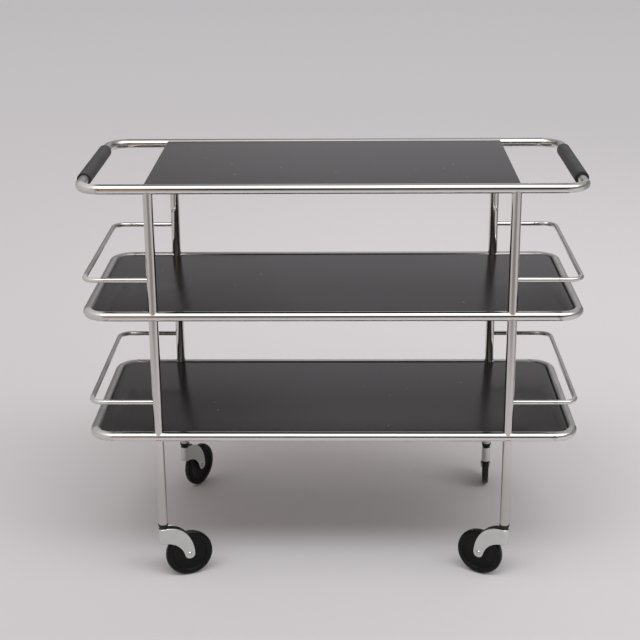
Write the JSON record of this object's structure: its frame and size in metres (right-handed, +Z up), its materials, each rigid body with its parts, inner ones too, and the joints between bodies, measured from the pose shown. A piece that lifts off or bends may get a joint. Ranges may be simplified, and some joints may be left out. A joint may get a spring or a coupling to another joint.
{
  "type": "serving cart",
  "caption": "Tubular-steel serving trolley with black shelves on three levels, end galleries, sleeve grips on the top rail and free-swivelling casters.",
  "frame": {"origin": "on the floor, under the middle of the three tube loops", "axes": "+X along the length, from the left grip to the right one; +Y from the front to the back; +Z up"},
  "size_m": [0.825, 0.4339, 0.6985],
  "materials": {
    "chrome_tube": "bright chrome plate, lightly aged",
    "fork_steel": "satin zinc plate",
    "plain_steel": "plain turned or cut steel",
    "shelf_black": "semi-matte black laminate",
    "grip_rubber": "matte dark grey",
    "collar_plastic": "black moulding",
    "wheel_plastic": "black moulding",
    "tyre_rubber": "matte black rubber"
  },
  "bodies": {
    "frame": {"board_screws": "plain_steel", "bottom_board": "shelf_black", "bottom_board_lugs": "plain_steel", "bottom_frame": "chrome_tube", "front_left_leg": "chrome_tube", "front_left_middle_post": "chrome_tube", "front_left_socket": "collar_plastic", "front_left_upper_post": "chrome_tube", "front_right_leg": "chrome_tube", "front_right_middle_post": "chrome_tube", "front_right_socket": "collar_plastic", "front_right_upper_post": "chrome_tube", "left_bottom_gallery": "chrome_tube", "left_grip": "grip_rubber", "left_middle_gallery": "chrome_tube", "middle_board": "shelf_black", "middle_board_lugs": "plain_steel", "middle_frame": "chrome_tube", "rear_left_leg": "chrome_tube", "rear_left_middle_post": "chrome_tube", "rear_left_socket": "collar_plastic", "rear_left_upper_post": "chrome_tube", "rear_right_leg": "chrome_tube", "rear_right_middle_post": "chrome_tube", "rear_right_socket": "collar_plastic", "rear_right_upper_post": "chrome_tube", "right_bottom_gallery": "chrome_tube", "right_grip": "grip_rubber", "right_middle_gallery": "chrome_tube", "top_board": "shelf_black", "top_board_lugs": "plain_steel", "top_rail_front": "chrome_tube", "top_rail_rear": "chrome_tube", "top_rail_spigots": "plain_steel"},
    "front_left_caster": {"front_left_swivel_pin": "plain_steel", "front_left_fork": "fork_steel", "front_left_axle": "fork_steel", "front_left_axle_bush": "plain_steel"},
    "front_left_roller": {"front_left_wheel": "wheel_plastic", "front_left_tyre": "tyre_rubber"},
    "front_right_caster": {"front_right_swivel_pin": "plain_steel", "front_right_fork": "fork_steel", "front_right_axle": "fork_steel", "front_right_axle_bush": "plain_steel"},
    "front_right_roller": {"front_right_wheel": "wheel_plastic", "front_right_tyre": "tyre_rubber"},
    "rear_left_caster": {"rear_left_swivel_pin": "plain_steel", "rear_left_fork": "fork_steel", "rear_left_axle": "fork_steel", "rear_left_axle_bush": "plain_steel"},
    "rear_left_roller": {"rear_left_wheel": "wheel_plastic", "rear_left_tyre": "tyre_rubber"},
    "rear_right_caster": {"rear_right_swivel_pin": "plain_steel", "rear_right_fork": "fork_steel", "rear_right_axle": "fork_steel", "rear_right_axle_bush": "plain_steel"},
    "rear_right_roller": {"rear_right_wheel": "wheel_plastic", "rear_right_tyre": "tyre_rubber"}
  },
  "joints": [
    {"name": "front_left_swivel", "type": "hinge", "parent": "frame", "child": "front_left_caster", "pos_m": [-0.29, -0.1703, 0.0942], "axis": [0, 0, 1], "continuous": true},
    {"name": "front_left_roll", "type": "hinge", "parent": "front_left_caster", "child": "front_left_roller", "pos_m": [-0.24937, -0.15551, 0.041], "axis": [-0.342, 0.9397, 0], "continuous": true},
    {"name": "front_right_swivel", "type": "hinge", "parent": "frame", "child": "front_right_caster", "pos_m": [0.29, -0.1703, 0.0942], "axis": [0, 0, 1], "continuous": true},
    {"name": "front_right_roll", "type": "hinge", "parent": "front_right_caster", "child": "front_right_roller", "pos_m": [0.25218, -0.14934, 0.041], "axis": [-0.4848, -0.8746, 0], "continuous": true},
    {"name": "rear_left_swivel", "type": "hinge", "parent": "frame", "child": "rear_left_caster", "pos_m": [-0.29, 0.1703, 0.0942], "axis": [0, 0, 1], "continuous": true},
    {"name": "rear_left_roll", "type": "hinge", "parent": "rear_left_caster", "child": "rear_left_roller", "pos_m": [-0.26773, 0.20736, 0.041], "axis": [-0.8572, 0.515, 0], "continuous": true},
    {"name": "rear_right_swivel", "type": "hinge", "parent": "frame", "child": "rear_right_caster", "pos_m": [0.29, 0.1703, 0.0942], "axis": [0, 0, 1], "continuous": true},
    {"name": "rear_right_roll", "type": "hinge", "parent": "rear_right_caster", "child": "rear_right_roller", "pos_m": [0.29377, 0.21338, 0.041], "axis": [-0.9962, 0.0872, 0], "continuous": true}
  ]
}
